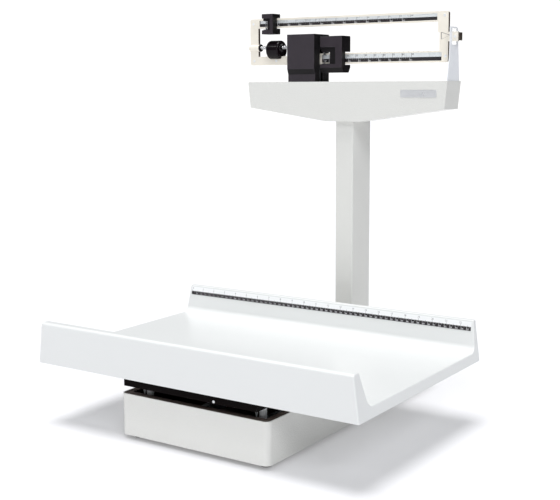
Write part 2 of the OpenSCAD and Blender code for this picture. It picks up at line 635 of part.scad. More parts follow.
module tray_ends(i) polygon([[-tray_len / 2 + i, tray_low - 1], [tray_len / 2 - i, tray_low - 1],
    [tray_len / 2 - tray_end_draft - i, tray_top + 1], [-tray_len / 2 + tray_end_draft + i, tray_top + 1]]);
module tray() color("white") difference() {
    union() {
        difference() {
            intersection() {
                plate_yz([-tray_len / 2, tray_len / 2]) tray_section(0);
                plate_xz([tray_front, tray_back]) tray_ends(0);
            }
            intersection() {
                plate_yz([-tray_len / 2, tray_len / 2]) tray_section(tray_t);
                plate_xz([tray_front, tray_back]) tray_ends(tray_t);
            }
        }
        for (s = [-1, 1], x = [165, 225])
            slab([s * x - 1.2, s * x + 1.2], [tray_front + 1, tray_back - 1.5], [108, bed_z - 1]);
        for (p = screw_at) rod_z(p[0], p[1], deck_z[1], bed_z - 1, 14);
    }
    for (p = screw_at) rod_z(p[0], p[1], deck_z[1] - 1, bed_z - 2.5, 4.9);
}
module tray_screws() color("silver") for (p = screw_at) {
    rod_z(p[0], p[1], deck_z[1] - 2.5, bed_z - 3, 4.8);
    rod_z(p[0], p[1], deck_z[1] - 5.5, deck_z[1] - 2.5, 10);
}
tape_len = 580;
tape_w = 15;
tape_drop = 3.5;         // from the wall's crest to the tape's upper edge, along the wall
tape_lean = atan((wall_crest[0] - wall_foot[0]) / (tray_top - bed_z));
module measuring_tape() color("black")
    translate([-tape_len / 2, wall_crest[0], tray_top]) rotate([-tape_lean, 0, 0])
        translate([0, -0.42, -tape_drop - tape_w]) cube([tape_len, 0.4, tape_w]);

base_shell();
base_chassis();
rubber_feet();
foot_screws();
fulcrum_stands();
fulcrum_bearings();
column_flange();
column_screws();
column_tube();
head_shelf();
head_shell();
head_back_cover();
head_screws();
tip_guard();
guard_screws();
beam_stand();
beam_bearings();
transfer_stand();
transfer_bearings();
fulcrum_cover();
cover_screws();
name_plate();
beam_frame();
upper_scale_strip();
lower_scale_strip();
beam_rivets();
fulcrum_pivot();
load_pivot();
tip_tab();
balance_screw();
screw_collar();
balance_weight();
small_poise();
small_poise_index();
small_poise_rider();
large_poise();
large_poise_index();
large_poise_pawl();
large_poise_keeper();
beam_link();
transfer_lever();
transfer_pivots();
pull_rod();
rod_stirrups();
rod_nuts();
main_lever();
main_lever_pivots();
main_lever_seats();
short_lever();
short_lever_pivots();
platform_frame();
platform_posts();
post_bearings();
hold_down_clips();
deck_screw();
tray();
measuring_tape();
tray_screws();
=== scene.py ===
"""Looks of a mechanical beam scale with a shallow tray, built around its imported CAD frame.

Everything is in metres, in the row frame: +Z up, +X along the beam to its tip, -Y towards the user.
"""

import math

import bmesh
import bpy
from mathutils import Matrix, Vector


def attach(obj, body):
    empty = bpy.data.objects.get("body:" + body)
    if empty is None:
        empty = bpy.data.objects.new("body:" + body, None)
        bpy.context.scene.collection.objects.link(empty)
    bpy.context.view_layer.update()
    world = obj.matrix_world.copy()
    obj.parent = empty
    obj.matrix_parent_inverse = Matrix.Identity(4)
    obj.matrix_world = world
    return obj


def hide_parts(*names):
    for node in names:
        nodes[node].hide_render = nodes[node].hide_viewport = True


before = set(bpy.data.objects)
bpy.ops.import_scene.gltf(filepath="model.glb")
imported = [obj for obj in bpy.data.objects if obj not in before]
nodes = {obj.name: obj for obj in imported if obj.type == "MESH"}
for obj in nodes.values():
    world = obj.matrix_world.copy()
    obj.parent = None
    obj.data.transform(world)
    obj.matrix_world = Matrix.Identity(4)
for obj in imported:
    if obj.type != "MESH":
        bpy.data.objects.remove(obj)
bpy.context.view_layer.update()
MM = 0.001


# ---------- camera, light and floor ----------
CAMERA_TURN = (33.84, 8.88, -0.285)
CAMERA_SPOT = (0.9765, -1.4633, 0.5557)
LENS_MM, SENSOR_MM = 68.49, 36
FLOOR_HALF = 14


def make_camera():
    """Camera at the photograph's viewing angle, about 34 degrees round to the right of the front."""
    yaw, pitch, roll = (math.radians(a) for a in CAMERA_TURN)
    forward = Vector((-math.sin(yaw) * math.cos(pitch), math.cos(yaw) * math.cos(pitch), -math.sin(pitch)))
    level = Vector((math.cos(yaw), math.sin(yaw), 0))
    right = level * math.cos(roll) + level.cross(forward) * math.sin(roll)
    up = right.cross(forward)
    data = bpy.data.cameras.new("camera")
    data.lens = LENS_MM
    data.sensor_width = SENSOR_MM
    data.clip_start, data.clip_end = 0.05, 60
    camera = bpy.data.objects.new("camera", data)
    bpy.context.scene.collection.objects.link(camera)
    turn = Matrix((right, up, -forward)).transposed().to_4x4()
    camera.matrix_world = Matrix.Translation(CAMERA_SPOT) @ turn
    bpy.context.scene.camera = camera


def soft_light(name, travel, level, spread, color=(1, 1, 1)):
    """Far soft light that travels along a direction, with an angular size in degrees."""
    data = bpy.data.lights.new(name, "SUN")
    data.energy = level * math.pi
    data.angle = math.radians(spread)
    data.color = color
    light = bpy.data.objects.new(name, data)
    bpy.context.scene.collection.objects.link(light)
    light.rotation_mode = "QUATERNION"
    light.rotation_quaternion = Vector(travel).to_track_quat("-Z", "Y")


def dark_card(name, centre, aim, size):
    """Black card that only reflections see, which gives bright metal its dark bands."""
    bm = bmesh.new()
    bmesh.ops.create_grid(bm, x_segments=1, y_segments=1, size=size / 2)
    mesh = bpy.data.meshes.new(name)
    bm.to_mesh(mesh)
    bm.free()
    card = bpy.data.objects.new(name, mesh)
    bpy.context.scene.collection.objects.link(card)
    card.location = centre
    card.rotation_mode = "QUATERNION"
    card.rotation_quaternion = (Vector(aim) - Vector(centre)).to_track_quat("Z", "Y")
    mesh.materials.append(plain_stage("card_black", (0.015, 0.012, 0.01), 0.9))
    card.visible_camera = False
    card.visible_diffuse = False
    card.visible_shadow = False


def plain_stage(name, color, rough, glow=0.0):
    """Unpatterned material for what isn't part of the object."""
    mat = bpy.data.materials.new(name)
    mat.use_nodes = True
    shader = mat.node_tree.nodes["Principled BSDF"]
    shader.inputs["Base Color"].default_value = (*color, 1)
    shader.inputs["Roughness"].default_value = rough
    shader.inputs["Specular IOR Level"].default_value = 0.1
    shader.inputs["Emission Color"].default_value = (1, 1, 1, 1)
    shader.inputs["Emission Strength"].default_value = glow
    return mat


def make_studio():
    """Pale floor, white surroundings, soft lights from above and a low one from the front."""
    scene = bpy.context.scene
    scene.view_settings.view_transform = "Standard"
    world = bpy.data.worlds.new("studio")
    world.use_nodes = True
    tree = world.node_tree
    dim = tree.nodes["Background"]
    dim.inputs["Color"].default_value = (0.93, 0.96, 1, 1)
    dim.inputs["Strength"].default_value = 0.25
    white = tree.nodes.new("ShaderNodeBackground")
    white.inputs["Color"].default_value = (1, 1, 1, 1)
    white.inputs["Strength"].default_value = 1.1
    rays = tree.nodes.new("ShaderNodeLightPath")
    mix = tree.nodes.new("ShaderNodeMixShader")
    link(tree, rays.outputs["Is Camera Ray"], mix.inputs["Fac"])
    link(tree, dim.outputs["Background"], mix.inputs[1])
    link(tree, white.outputs["Background"], mix.inputs[2])
    link(tree, mix.outputs["Shader"], tree.nodes["World Output"].inputs["Surface"])
    scene.world = world
    bm = bmesh.new()
    bmesh.ops.create_grid(bm, x_segments=1, y_segments=1, size=FLOOR_HALF)
    mesh = bpy.data.meshes.new("floor")
    bm.to_mesh(mesh)
    bm.free()
    floor = bpy.data.objects.new("floor", mesh)
    scene.collection.objects.link(floor)
    mesh.materials.append(plain_stage("floor_white", (0.6, 0.6, 0.62), 0.9, 0.28))
    soft_light("overhead", (0.05, 0.12, -1), 0.91, 28)
    soft_light("front_left", (0.5, 0.63, -0.6), 0.06, 10, (1, 0.99, 0.97))
    soft_light("front_right", (-0.6, 0.52, -0.6), 0.31, 22, (0.97, 0.985, 1))
    soft_light("front_fill", (-0.1, 0.95, -0.16), 0.11, 30)
    dark_card("card_right", (1.3, 1.7, 0.35), (0.1, 0.2, 0.6), 2.6)


# ---------- materials ----------
def link(tree, a, b):
    tree.links.new(a, b)


def noise_value(tree, coords, scale, detail, low, high):
    """Noise stretched to the range low to high."""
    noise = tree.nodes.new("ShaderNodeTexNoise")
    noise.inputs["Scale"].default_value = scale
    noise.inputs["Detail"].default_value = detail
    link(tree, coords, noise.inputs["Vector"])
    spread = tree.nodes.new("ShaderNodeMapRange")
    spread.inputs["From Min"].default_value = 0.3
    spread.inputs["From Max"].default_value = 0.7
    spread.inputs["To Min"].default_value = low
    spread.inputs["To Max"].default_value = high
    link(tree, noise.outputs["Fac"], spread.inputs["Value"])
    return spread.outputs["Result"]


def mix_colors(tree, factor, a, b):
    """Mix node of two colours; each of factor, a and b is a socket or a value."""
    mix = tree.nodes.new("ShaderNodeMix")
    mix.data_type = "RGBA"
    for index, value in ((0, factor), (6, a), (7, b)):
        if isinstance(value, bpy.types.NodeSocket):
            link(tree, value, mix.inputs[index])
        else:
            mix.inputs[index].default_value = value if index == 0 else (*value, 1)
    return mix.outputs[2]


def edge_mask(tree, coords, radius, low, high):
    """1 on edges and 0 elsewhere, broken up by noise: worn edges, and on the black cover and poises also
    painted highlights along the edges.
    """
    bevel = tree.nodes.new("ShaderNodeBevel")
    bevel.samples = 4
    bevel.inputs["Radius"].default_value = radius
    geometry = tree.nodes.new("ShaderNodeNewGeometry")
    dot = tree.nodes.new("ShaderNodeVectorMath")
    dot.operation = "DOT_PRODUCT"
    link(tree, bevel.outputs["Normal"], dot.inputs[0])
    link(tree, geometry.outputs["Normal"], dot.inputs[1])
    edge = tree.nodes.new("ShaderNodeMapRange")
    edge.inputs["From Min"].default_value = 0.99
    edge.inputs["From Max"].default_value = 0.88
    link(tree, dot.outputs["Value"], edge.inputs["Value"])
    patch = noise_value(tree, coords, 90, 5, low, high)
    both = tree.nodes.new("ShaderNodeMath")
    both.operation = "MULTIPLY"
    both.use_clamp = True
    link(tree, edge.outputs["Result"], both.inputs[0])
    link(tree, patch, both.inputs[1])
    return both.outputs["Value"]


def math_node(tree, operation, a, b=0.0):
    """Math node of one or two sockets or values."""
    node = tree.nodes.new("ShaderNodeMath")
    node.operation = operation
    for index, value in enumerate((a, b)):
        if isinstance(value, bpy.types.NodeSocket):
            link(tree, value, node.inputs[index])
        else:
            node.inputs[index].default_value = value
    return node.outputs["Value"]


def ramp(tree, value, zero_at, one_at):
    """0 to 1 as a value goes from one limit to the other."""
    node = tree.nodes.new("ShaderNodeMapRange")
    node.inputs["From Min"].default_value = zero_at
    node.inputs["From Max"].default_value = one_at
    link(tree, value, node.inputs["Value"])
    return node.outputs["Result"]


def split_coords(tree, output):
    """X, Y and Z of the object's own coordinates or normals."""
    parts = tree.nodes.new("ShaderNodeSeparateXYZ")
    link(tree, tree.nodes.new("ShaderNodeTexCoord").outputs[output], parts.inputs["Vector"])
    return parts.outputs


def end_mask(tree):
    """Painted shade: 1 on faces that look along X, such as the ends of the beam's casting, which are
    coloured dark brown as shade.
    """
    return ramp(tree, math_node(tree, "ABSOLUTE", split_coords(tree, "Normal")["X"]), 0.75, 0.95)


def below_top_mask(tree):
    """Painted shade: 1 everywhere but on faces that look up, so only the tops keep the lighter colour."""
    return ramp(tree, split_coords(tree, "Normal")["Z"], 0.97, 0.9)


# Painted shade: faces behind this plane are coloured near black as the shade inside the poises' reading
# windows.
RECESS_Y = 206.2  # faces of the poises behind this plane, in mm, are the floors of their windows


def flank_mask(tree):
    """Painted shade: 1 on flanks, undersides and the floors of the reading windows, which are coloured
    near black as shade, 0 on fronts and tops.
    """
    normal = split_coords(tree, "Normal")
    front = math_node(tree, "MULTIPLY", normal["Y"], -1.0)
    flank = ramp(tree, math_node(tree, "MAXIMUM", front, normal["Z"]), 0.985, 0.95)
    deep = ramp(tree, split_coords(tree, "Object")["Y"], RECESS_Y * MM, (RECESS_Y + 0.2) * MM)
    floor = math_node(tree, "MULTIPLY", ramp(tree, front, 0.9, 0.95), deep)
    return math_node(tree, "MAXIMUM", flank, floor)


EDGE_WEAR_AND_HIGHLIGHT_REACH = 0.0011


def surface(name, color, rough, metal=0.0, mottle=(14, 0.03), grain=(900, 0.05), spread=0.06,
            edge_wear_and_highlight=None, coat=0.0, specular=0.5, brushed=None, side=None):
    """Procedural finish: mottled colour, uneven gloss, fine grain, worn edges that on some finishes are
    also painted highlights, and painted shade on the faces a mask picks.
    """
    mat = bpy.data.materials.new(name)
    mat.use_nodes = True
    tree = mat.node_tree
    shader = tree.nodes["Principled BSDF"]
    coords = tree.nodes.new("ShaderNodeTexCoord").outputs["Object"]
    shade = noise_value(tree, coords, mottle[0], 4, 1 - mottle[1], 1)
    scale = tree.nodes.new("ShaderNodeVectorMath")
    scale.operation = "SCALE"
    scale.inputs[0].default_value = color
    link(tree, shade, scale.inputs["Scale"])
    result = scale.outputs["Vector"]
    # Painted shade: the faces picked by the mask take the darker colour.
    if side:
        result = mix_colors(tree, side[1](tree), result, side[0])
    if edge_wear_and_highlight:
        result = mix_colors(tree, edge_mask(tree, coords, EDGE_WEAR_AND_HIGHLIGHT_REACH, *edge_wear_and_highlight[1]), result, edge_wear_and_highlight[0])
    link(tree, result, shader.inputs["Base Color"])
    gloss = noise_value(tree, coords, 45, 3, max(0.02, rough - spread), rough + spread)
    link(tree, gloss, shader.inputs["Roughness"])
    if brushed:
        stretch = tree.nodes.new("ShaderNodeMapping")
        stretch.inputs["Scale"].default_value = brushed
        link(tree, coords, stretch.inputs["Vector"])
        coords = stretch.outputs["Vector"]
    fine = noise_value(tree, coords, grain[0], 2, 0, 1)
    bump = tree.nodes.new("ShaderNodeBump")
    bump.inputs["Strength"].default_value = grain[1]
    bump.inputs["Distance"].default_value = 0.0004
    link(tree, fine, bump.inputs["Height"])
    link(tree, bump.outputs["Normal"], shader.inputs["Normal"])
    shader.inputs["Metallic"].default_value = metal
    shader.inputs["Coat Weight"].default_value = coat
    shader.inputs["Coat Roughness"].default_value = 0.12
    shader.inputs["Specular IOR Level"].default_value = specular
    return mat


def make_materials():
    """The finishes by name: those of the record's slots, and a few more for single pieces and marks."""
    pale_wear = ((0.62, 0.6, 0.55), (-0.9, 0.35))
    bare_wear = ((0.45, 0.43, 0.42), (-0.7, 0.55))
    # Near-black painted shade for the flanks, undersides and window floors of the black cover and poises.
    painted_shade_black = ((0.004, 0.003, 0.004), flank_mask)
    return {
        "white_enamel": surface("white_enamel", (0.74, 0.74, 0.712), 0.38, mottle=(9, 0.02),
                                grain=(520, 0.38), edge_wear_and_highlight=pale_wear, specular=0.45),
        # Lighter, bluer copy of the white enamel for the tip guard: painted light on the side that the
        # light from the right falls on.
        "guard_lit_white": surface("guard_lit_white", (0.86, 0.88, 0.91), 0.38, mottle=(9, 0.02),
                               grain=(520, 0.38), edge_wear_and_highlight=pale_wear, specular=0.45),
        "tray_white": surface("tray_white", (0.74, 0.752, 0.748), 0.32, mottle=(3, 0.012),
                              grain=(420, 0.05), spread=0.03, coat=0.2),
        # Black steel: faces that don't look up are coloured near black as painted shade, and the tops keep
        # a lighter brown.
        "black_steel": surface("black_steel", (0.15, 0.115, 0.1), 0.5, mottle=(30, 0.2),
                               grain=(800, 0.15), edge_wear_and_highlight=((0.06, 0.045, 0.04), (-0.5, 0.7)),
                               specular=0.04, side=((0.003, 0.0015, 0.0015), below_top_mask)),
        "rubber": surface("rubber", (0.02, 0.019, 0.019), 0.75, mottle=(60, 0.2), grain=(1500, 0.3)),
        "screw_zinc": surface("screw_zinc", (0.7, 0.71, 0.72), 0.28, 1.0, mottle=(120, 0.15),
                              grain=(1500, 0.1)),
        "grey_steel": surface("grey_steel", (0.27, 0.28, 0.3), 0.5, mottle=(25, 0.15),
                              grain=(500, 0.35), edge_wear_and_highlight=bare_wear),
        "hard_steel": surface("hard_steel", (0.62, 0.62, 0.64), 0.25, 1.0, mottle=(60, 0.12),
                              grain=(1200, 0.2), brushed=(1, 0.05, 1)),
        # The lighter edge colour on the black cover and poises is wear and also a painted highlight along
        # the edges.
        "cover_black": surface("cover_black", (0.040, 0.033, 0.041), 0.44, mottle=(40, 0.15),
                               grain=(1300, 0.6), edge_wear_and_highlight=((0.15, 0.135, 0.155), (-0.1, 1.0)),
                               specular=0.22, side=painted_shade_black),
        "plate_blank": surface("plate_blank", (0.8, 0.81, 0.82), 0.33, 0.75, mottle=(30, 0.05),
                               grain=(1400, 0.12), brushed=(0.03, 1, 1)),
        # The beam's faces that look along X are coloured dark brown as painted shade.
        "beam_nickel": surface("beam_nickel", (0.93, 0.88, 0.78), 0.4, 0.1, mottle=(26, 0.06),
                               grain=(1100, 0.22), edge_wear_and_highlight=((0.97, 0.93, 0.86), (-0.5, 0.6)),
                               side=((0.075, 0.05, 0.04), end_mask)),
        "strip_metal": surface("strip_metal", (0.88, 0.92, 0.94), 0.3, 0.2, mottle=(50, 0.05),
                               grain=(1400, 0.08), brushed=(0.03, 1, 1)),
        "tab_bronze": surface("tab_bronze", (0.36, 0.31, 0.26), 0.33, 0.9, mottle=(90, 0.2),
                              grain=(1100, 0.2), edge_wear_and_highlight=((0.62, 0.57, 0.5), (-0.3, 0.8))),
        "bright_steel": surface("bright_steel", (0.82, 0.83, 0.84), 0.12, 1.0, mottle=(80, 0.06),
                                grain=(1500, 0.04), spread=0.05),
        "poise_black": surface("poise_black", (0.034, 0.027, 0.034), 0.4, mottle=(45, 0.15),
                               grain=(1000, 0.35), edge_wear_and_highlight=((0.14, 0.125, 0.14), (-0.2, 0.95)),
                               specular=0.22, side=painted_shade_black),
        "weight_black": surface("weight_black", (0.006, 0.003, 0.005), 0.16, mottle=(60, 0.2),
                                grain=(600, 0.03), spread=0.04, specular=0.16),
        "post_zinc": surface("post_zinc", (0.93, 0.94, 0.95), 0.3, 0.15, mottle=(150, 0.12),
                             grain=(1300, 0.08)),
        "rider_brass": surface("rider_brass", (0.72, 0.55, 0.25), 0.3, 1.0, mottle=(90, 0.15),
                               grain=(1200, 0.1)),
        "tape_print": surface("tape_print", (0.88, 0.89, 0.9), 0.34, mottle=(35, 0.03), grain=(900, 0.04)),
        "print_black": surface("print_black", (0.022, 0.018, 0.021), 0.32, mottle=(80, 0.2),
                               grain=(1200, 0.05)),
        "print_dark": surface("print_dark", (0.17, 0.165, 0.18), 0.4, mottle=(200, 0.2),
                              grain=(1500, 0.04)),
        "print_white": surface("print_white", (0.85, 0.86, 0.88), 0.36, mottle=(200, 0.1),
                               grain=(1500, 0.04)),
    }


# ---------- mesh helpers ----------
def piece(name, bm, finish, body, replaces=(), bevel=0.0, segments=2):
    """Turns a bmesh into a named piece with a finish, on a body."""
    bmesh.ops.recalc_face_normals(bm, faces=bm.faces)
    mesh = bpy.data.meshes.new(name)
    bm.to_mesh(mesh)
    bm.free()
    mesh.shade_smooth()
    mesh.materials.append(materials[finish])
    obj = bpy.data.objects.new(name, mesh)
    bpy.context.scene.collection.objects.link(obj)
    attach(obj, body)
    if replaces:
        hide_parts(*replaces)
    if bevel:
        round_edges(obj, bevel, segments)
    else:
        even_normals(obj)
    return obj


def even_normals(obj):
    """Flat faces stay flat and only the rounded edges are shaded round."""
    obj.modifiers.new("normals", "WEIGHTED_NORMAL").keep_sharp = True


def round_edges(obj, width, segments):
    """Rounds every hard edge by width."""
    bevel = obj.modifiers.new("edges", "BEVEL")
    bevel.width = width * MM
    bevel.segments = segments
    bevel.limit_method = "ANGLE"
    bevel.angle_limit = math.radians(32)
    bevel.use_clamp_overlap = True
    even_normals(obj)


def keep(node, finish, width, segments=2):
    """Shows a CAD node as it is, with its edges rounded and a finish."""
    obj = nodes[node]
    obj.data.materials.clear()
    obj.data.materials.append(materials[finish])
    weld = obj.modifiers.new("weld", "WELD")
    weld.merge_threshold = 0.005 * MM
    flat = obj.modifiers.new("flat", "DECIMATE")
    flat.decimate_type = "DISSOLVE"
    flat.angle_limit = math.radians(0.6)
    round_edges(obj, width, segments)


def spot(axis, along, u, v):
    """Point at a distance along an axis, with u and v on the other two axes in order."""
    return {"x": (along, u, v), "y": (u, along, v), "z": (u, v, along)}[axis]


def prism(bm, axis, lo, hi, *loops):
    """Adds a solid with a flat outline, and any holes in it, from lo to hi along an axis, in mm."""
    ends = ([], [])
    for loop in loops:
        rings = [[bm.verts.new(Vector(spot(axis, t, u, v)) * MM) for u, v in loop] for t in (lo, hi)]
        for i in range(len(loop)):
            j = (i + 1) % len(loop)
            bm.faces.new((rings[0][i], rings[0][j], rings[1][j], rings[1][i]))
        for ring, edges in zip(rings, ends):
            edges += [bm.edges.get((ring[i - 1], ring[i])) for i in range(len(ring))]
    for edges in ends:
        bmesh.ops.triangle_fill(bm, use_beauty=True, use_dissolve=False, edges=edges)


def arc(cu, cv, r, start, end, steps):
    """Points of an arc, from start to end in degrees."""
    angles = (math.radians(start + (end - start) * i / steps) for i in range(steps + 1))
    return [(cu + r * math.cos(a), cv + r * math.sin(a)) for a in angles]


def ring(cu, cv, r, steps=32):
    """Closed circle of points."""
    return arc(cu, cv, r, 0, 360, steps)[:-1]


def join_rings(bm, rings):
    """Joins rings of points, each of the same count, into a skin, and gives its rings of vertices."""
    rows = [[bm.verts.new(p) for p in points] for points in rings]
    count = len(rows[0])
    for a, b in zip(rows, rows[1:]):
        for i in range(count):
            bm.faces.new((a[i], a[(i + 1) % count], b[(i + 1) % count], b[i]))
    return rows


# ---------- printed marks ----------
FIGURE_SHARE = 0.72  # height of a figure as a share of the size of its font
glyph_store = {}


def glyph(text, height):
    """Solid figures of one unit of thickness, centred on the middle of their foot."""
    if (text, height) not in glyph_store:
        curve = bpy.data.curves.new("glyph", "FONT")
        curve.body = text
        curve.size = height / FIGURE_SHARE
        curve.extrude = 0.5
        curve.resolution_u = 2
        curve.align_x = "CENTER"
        obj = bpy.data.objects.new("glyph", curve)
        bpy.context.scene.collection.objects.link(obj)
        shown = obj.evaluated_get(bpy.context.evaluated_depsgraph_get())
        mesh = shown.to_mesh()
        points = [tuple(v.co) for v in mesh.vertices]
        glyph_store[text, height] = (points, [tuple(p.vertices) for p in mesh.polygons])
        shown.to_mesh_clear()
        bpy.data.objects.remove(obj)
        bpy.data.curves.remove(curve)
    return glyph_store[text, height]


class PrintPlane:
    """Flat face that marks are printed on, with u along the scale and v across it, in mm."""

    def __init__(self, origin, across):
        self.origin = Vector(origin)
        self.u = Vector((1, 0, 0))
        self.v = Vector(across).normalized()
        self.out = self.u.cross(self.v)

    def at(self, u, v, w):
        return (self.origin + self.u * u + self.v * v + self.out * w) * MM

    def bar(self, bm, u, v, w):
        """Thin block between two values each of u, v and the height above the face."""
        corners = [bm.verts.new(self.at(a, b, c)) for c in w for b in v for a in u]
        for face in ((0, 2, 3, 1), (4, 5, 7, 6), (0, 1, 5, 4), (1, 3, 7, 5), (3, 2, 6, 7), (2, 0, 4, 6)):
            bm.faces.new([corners[i] for i in face])

    def tick(self, bm, u, width, v, w):
        self.bar(bm, (u - width / 2, u + width / 2), v, w)

    def figure(self, bm, text, u, v, height, w):
        """Number with its foot centred at u, v."""
        points, faces = glyph(text, height)
        middle, thick = (w[0] + w[1]) / 2, w[1] - w[0]
        made = [bm.verts.new(self.at(u + x, v + y, middle + z * thick)) for x, y, z in points]
        for face in faces:
            bm.faces.new([made[i] for i in face])


# ---------- tray and its tape ----------
TRAY_LOW, TRAY_TOP, BED = 105.0, 173.0, 121.5
TRAY_HALF, END_LEAN = 301.8, 8.9
WALL = 2.5
FRONT_WALL = {"outer": -270.0, "crest": -254.5, "foot": -237.5, "round_out": 4.5, "round_in": 3.2}
BACK_WALL = {"outer": 130.8, "crest": 121.5, "foot": 114.0, "round_out": 2.6, "round_in": 2.4}
BED_FILLET = 14.0


def wall_profile(wall):
    """Section of one wall as (y, z) points, from its outer foot over the crest to the bed."""
    inward = math.copysign(1, wall["foot"] - wall["outer"])
    crest = abs(wall["crest"] - wall["outer"])
    foot = abs(wall["foot"] - wall["outer"])
    lean = math.atan((foot - crest) / (TRAY_TOP - BED))
    lean_deg = math.degrees(lean)
    out, inner = wall["round_out"], wall["round_in"]
    top_centre = crest - inner * (1 - math.sin(lean)) / math.cos(lean)
    rise = TRAY_TOP - BED - BED_FILLET
    bed_centre = crest + (BED_FILLET + rise * math.sin(lean)) / math.cos(lean)
    local = [(0.0, TRAY_LOW)]
    local += arc(out, TRAY_TOP - out, out, 180, 90, 6)
    local += arc(top_centre, TRAY_TOP - inner, inner, 90, lean_deg, 6)
    local += arc(bed_centre, BED + BED_FILLET, BED_FILLET, 180 + lean_deg, 270, 10)
    return [(wall["outer"] + inward * t, z) for t, z in local]


def make_tray():
    """Thin moulded tray: two walls, a flat bed and closed, leaning ends, hollow underneath."""
    profile = wall_profile(FRONT_WALL) + wall_profile(BACK_WALL)[::-1]
    bm = bmesh.new()
    rows = []
    for side in (-1, 1):
        row = []
        for y, z in profile:
            x = side * (TRAY_HALF - END_LEAN * (z - TRAY_LOW) / (TRAY_TOP - TRAY_LOW))
            row.append(bm.verts.new(Vector((x, y, z)) * MM))
        rows.append(row)
    for i in range(len(profile) - 1):
        bm.faces.new((rows[0][i], rows[0][i + 1], rows[1][i + 1], rows[1][i]))
    bm.faces.new(rows[0][::-1])
    bm.faces.new(rows[1])
    obj = piece("tray_moulding", bm, "tray_white", "platform", ("tray",))
    obj.modifiers.clear()
    edges = obj.modifiers.new("edges", "BEVEL")
    edges.width = 2.4 * MM
    edges.segments = 4
    edges.limit_method = "ANGLE"
    edges.angle_limit = math.radians(38)
    skin = obj.modifiers.new("wall", "SOLIDIFY")
    skin.thickness = WALL * MM
    skin.offset = -1
    skin.use_even_offset = True
    even_normals(obj)
    return obj


def make_tray_ribs():
    """Stiffening ribs and screw posts moulded under the bed."""
    bm = bmesh.new()
    for side in (-1, 1):
        for x in (165, 225):
            section = [(-266.5, 108), (127.4, 108), (127.4, BED - WALL + 0.2), (-266.5, BED - WALL + 0.2)]
            prism(bm, "x", side * x - 1.2, side * x + 1.2, section)
        for y in (-200, 60.8):
            prism(bm, "z", 112.5, BED - WALL + 0.2, ring(side * 85, y, 7), ring(side * 85, y, 2.45))
    return piece("tray_ribs", bm, "tray_white", "platform", bevel=0.3)


INCH = 25.4
TAPE_HALF, TAPE_WIDTH, TAPE_DROP = 290.0, 15.0, 3.5
TAPE_ZERO = -288.0
BAND_TOP = 7.0
TAPE_INCHES, TAPE_CM = 22, 57
DARK_INK, WHITE_INK = (0.38, 0.44), (0.41, 0.47)


def make_tape():
    """Measuring tape on the back wall: inches on a white strip above centimetres on a black band."""
    rise = Vector((0, BACK_WALL["crest"] - BACK_WALL["foot"], TRAY_TOP - BED)).normalized()
    foot = Vector((0, BACK_WALL["crest"], TRAY_TOP)) - rise * (TAPE_DROP + TAPE_WIDTH)
    face = PrintPlane(foot, rise)
    strip, band, dark, white = bmesh.new(), bmesh.new(), bmesh.new(), bmesh.new()
    face.bar(strip, (-TAPE_HALF, TAPE_HALF), (0, TAPE_WIDTH), (0.02, 0.40))
    face.bar(band, (-TAPE_HALF + 0.4, TAPE_HALF - 0.4), (0.35, BAND_TOP), (0.36, 0.43))
    for quarter in range(0, TAPE_INCHES * 4 + 3):
        reach = 3.6 if quarter % 4 == 0 else 1.9 if quarter % 2 == 0 else 1.0
        u = TAPE_ZERO + quarter * INCH / 4
        face.tick(dark, u, 0.42, (BAND_TOP + 0.05, BAND_TOP + reach), DARK_INK)
    for inch in range(0, TAPE_INCHES + 1):
        shift = 1.2 if inch == 0 else 0.0
        face.figure(dark, str(inch), TAPE_ZERO + inch * INCH + shift, BAND_TOP + 4.0, 3.1, DARK_INK)
    for half in range(1, 2 * TAPE_CM + 2):
        u = TAPE_ZERO + half * 5
        low = 0.9 if half % 2 == 0 else 5.2
        face.tick(white, u, 0.36, (low, BAND_TOP - 0.3), WHITE_INK)
        if half % 2 == 0:
            face.figure(white, str(half // 2), u + 2.4, 1.1, 2.7, WHITE_INK)
    piece("tape_strip", strip, "tape_print", "platform", ("measuring_tape",), bevel=0.08)
    piece("tape_band", band, "print_black", "platform")
    piece("tape_inch_marks", dark, "print_dark", "platform")
    piece("tape_cm_marks", white, "print_white", "platform")


# ---------- beam ----------
BEAM_FACE = 217.0
STRIP_FACE = 219.0
UPPER_STRIP = {"u": (-193.5, 173.0), "v": (660.8, 672.0), "split": 666.6}
LOWER_STRIP = {"u": (-56.0, 182.0), "v": (593.0, 607.0), "split": 599.6}
SCALE_INK = (0.03, 0.09)


def make_scale_print(name, strip, white_rule, black_rule):
    """Black lower band of a beam scale, with the marks of both its rules.

    A rule is (zero, pitch, divisions, parts of a division, step of the figures).
    """
    face = PrintPlane((0, STRIP_FACE, 0), (0, 0, 1))
    band, dark, white = bmesh.new(), bmesh.new(), bmesh.new()
    u, v, split = strip["u"], strip["v"], strip["split"]
    face.bar(band, (u[0] + 0.15, u[1] - 0.15), (v[0] + 0.1, split), (-0.02, 0.05))
    for marks, rule, edge, inner in ((dark, white_rule, v[1], split), (white, black_rule, v[0], split)):
        zero, pitch, count, parts, step = rule
        depth = abs(edge - inner)
        sign = math.copysign(1, edge - inner)
        for i in range(count * parts + 1):
            major = i % parts == 0
            reach = depth * (0.96 if major else 0.3 if i % 2 else 0.42)
            span = sorted((inner + sign * 0.12, inner + sign * reach))
            face.tick(marks, zero + i * pitch / parts, 0.55 if major else 0.24, span, SCALE_INK)
        height = depth * 0.44
        for i in range(count + 1):
            foot = inner + depth * 0.48 if sign > 0 else inner - depth * 0.94
            face.figure(marks, str(i * step), zero + i * pitch + 2.4, foot, height, SCALE_INK)
    piece(name + "_band", band, "print_black", "beam")
    piece(name + "_dark_marks", dark, "print_dark", "beam")
    piece(name + "_white_marks", white, "print_white", "beam")


